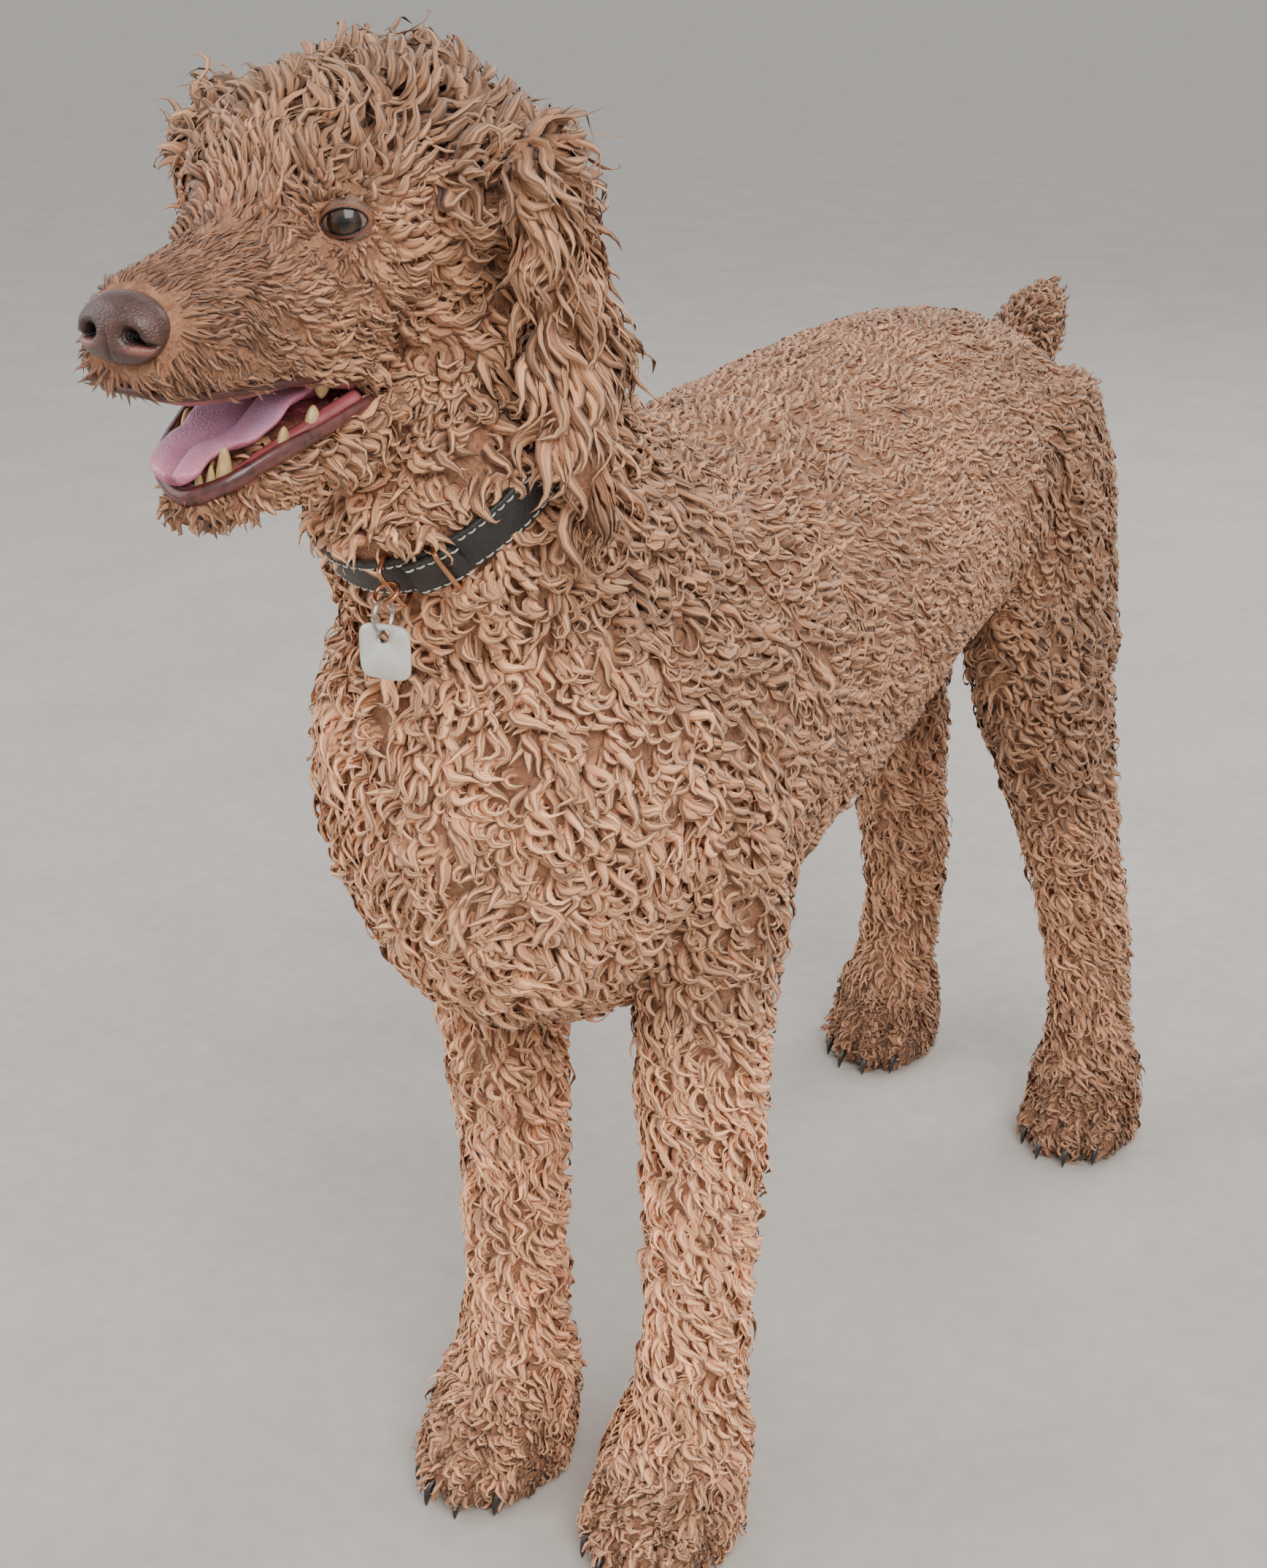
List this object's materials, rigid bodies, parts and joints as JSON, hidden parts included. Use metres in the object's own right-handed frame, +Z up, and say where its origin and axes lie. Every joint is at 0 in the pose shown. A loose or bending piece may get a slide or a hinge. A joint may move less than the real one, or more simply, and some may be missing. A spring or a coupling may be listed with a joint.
{
  "type": "standard poodle",
  "caption": "Still life-size model of a standing standard poodle with a clipped curly coat, open mouth and tongue, wearing a stitched collar with a blank tag.",
  "frame": {"origin": "middle of the bottom of the model's box, on the floor between the paws", "axes": "+Z up, -Y the way the dog faces, +X the dog's left"},
  "size_m": [0.265, 0.8722, 0.7909],
  "materials": {
    "coat": "matt apricot curls with darker roots",
    "nose": "brown pebbled nose leather, slightly moist",
    "eye": "polished dark brown eye",
    "tongue": "moist pink",
    "claw": "black horn, satin",
    "leather": "black leather with pale edge stitching",
    "copper": "copper-toned plated metal",
    "steel": "polished steel wire",
    "tag": "blank off-white plate, satin"
  },
  "bodies": {
    "root": {"claw_front_left_1": "claw", "claw_front_left_2": "claw", "claw_front_left_3": "claw", "claw_front_left_4": "claw", "claw_front_right_1": "claw", "claw_front_right_2": "claw", "claw_front_right_3": "claw", "claw_front_right_4": "claw", "claw_hind_left_1": "claw", "claw_hind_left_2": "claw", "claw_hind_left_3": "claw", "claw_hind_left_4": "claw", "claw_hind_right_1": "claw", "claw_hind_right_2": "claw", "claw_hind_right_3": "claw", "claw_hind_right_4": "claw", "collar": "leather", "d_ring": "copper", "ear_left": "coat", "ear_right": "coat", "eye_left": "eye", "eye_right": "eye", "front_leg_left": "coat", "front_leg_right": "coat", "front_paw_left": "coat", "front_paw_right": "coat", "head": "coat", "hind_leg_left": "coat", "hind_leg_right": "coat", "hind_paw_left": "coat", "hind_paw_right": "coat", "lower_jaw": "coat", "neck": "coat", "nose": "nose", "slide_1": "copper", "slide_2": "copper", "split_ring": "steel", "strap_end": "leather", "tag": "tag", "tail": "coat", "thigh_left": "coat", "thigh_right": "coat", "tongue": "tongue", "torso": "coat"}
  },
  "joints": []
}
